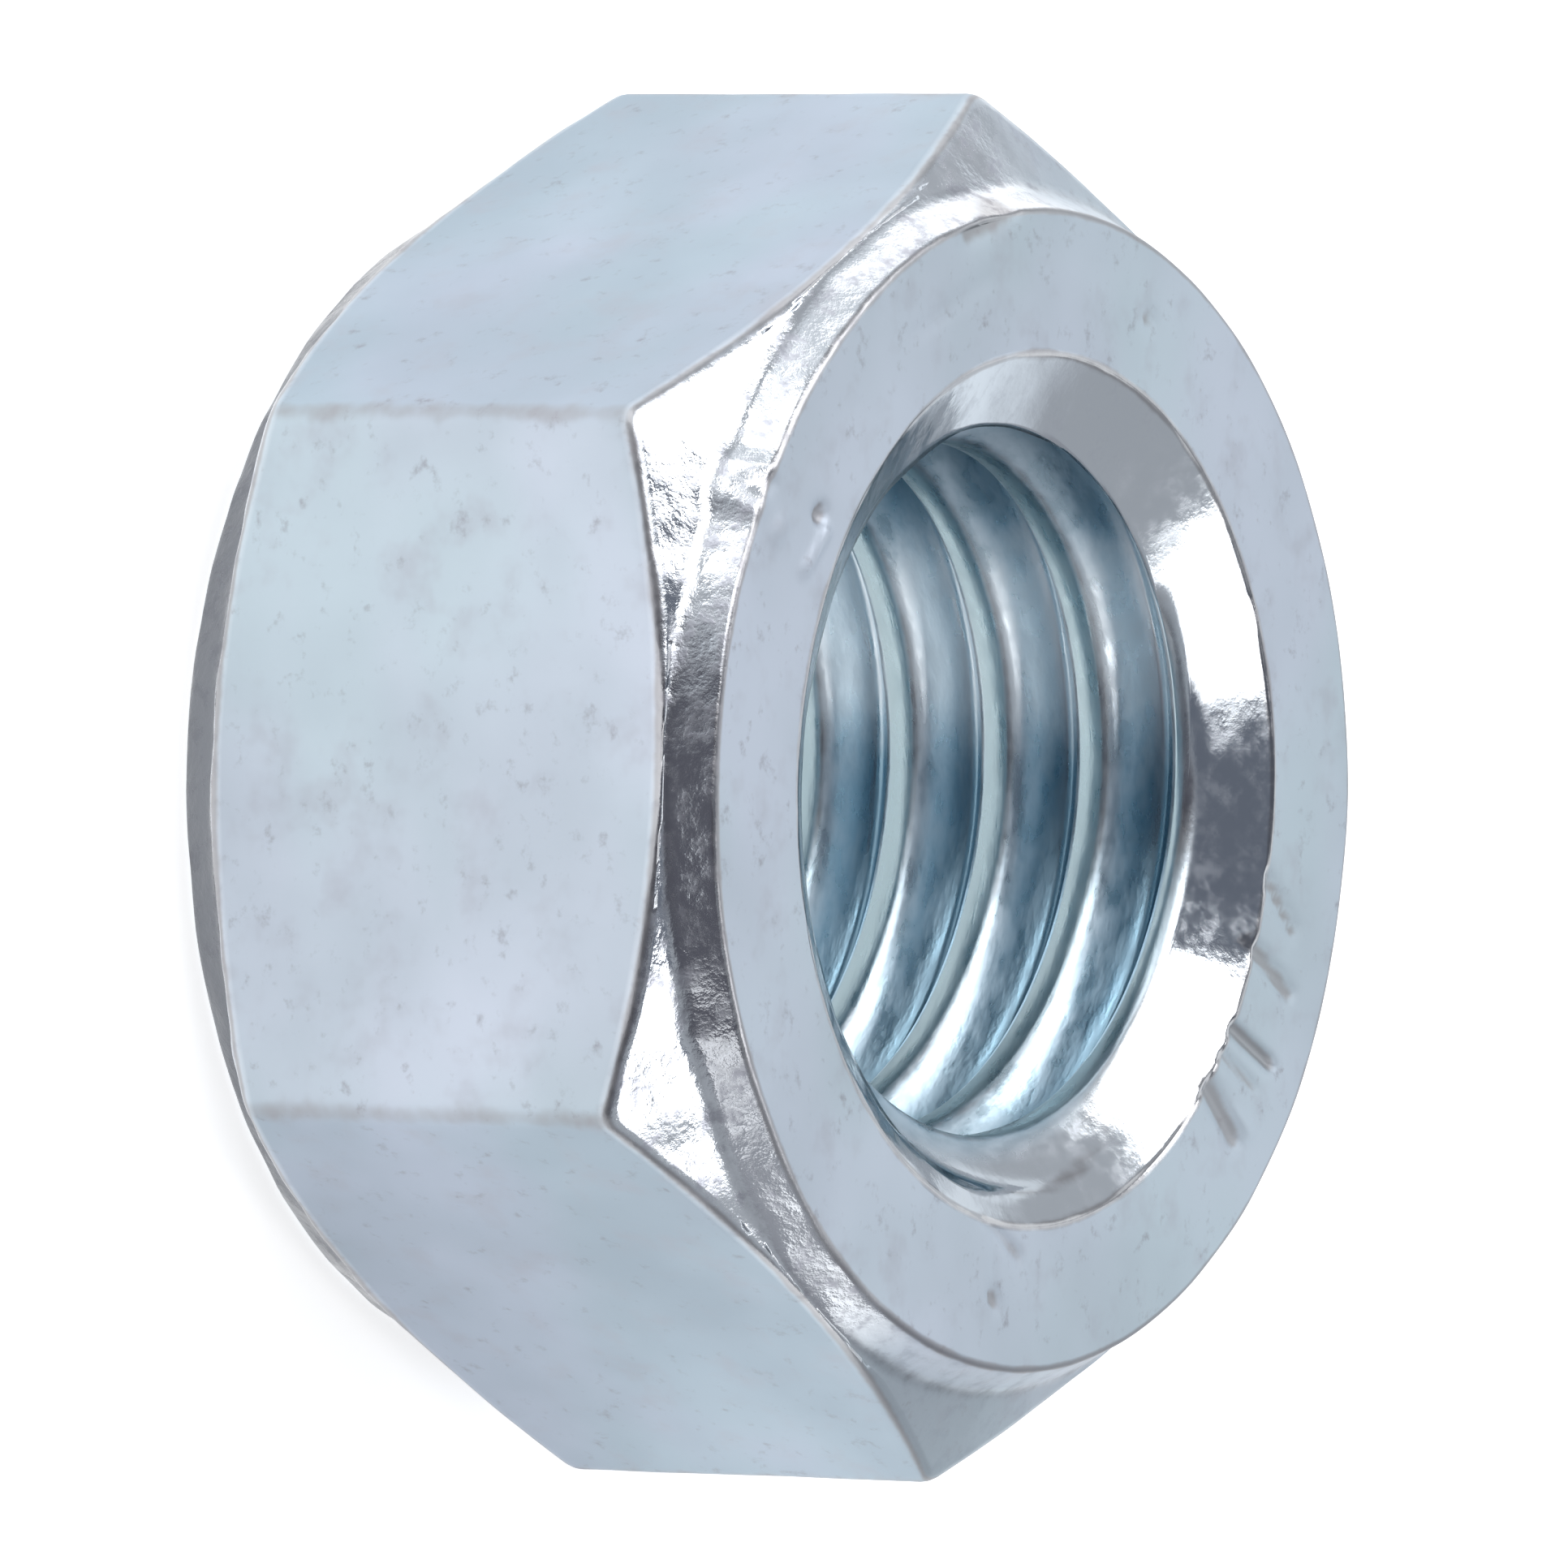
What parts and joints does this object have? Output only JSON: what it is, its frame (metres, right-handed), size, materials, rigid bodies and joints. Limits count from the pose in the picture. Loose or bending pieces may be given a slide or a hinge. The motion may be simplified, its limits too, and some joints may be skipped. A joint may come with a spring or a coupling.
{
  "type": "hex nut",
  "caption": "Zinc-plated steel hexagon nut with a raised washer face on each side and a right-hand metric thread, for an M14 bolt.",
  "frame": {"origin": "centre of the lower bearing face, on the thread's axis", "axes": "+Z along the thread's axis, out of the upper bearing face; two of the hexagon's corners point along +X and -X, and two of its flats face +Y and -Y"},
  "size_m": [0.024, 0.021, 0.011],
  "materials": {
    "zinc_plated_steel": "satin zinc plate with a pale blue passivation, brighter on the turned chamfers and in the thread"
  },
  "bodies": {
    "root": {"hex_nut": "zinc_plated_steel"}
  },
  "joints": []
}
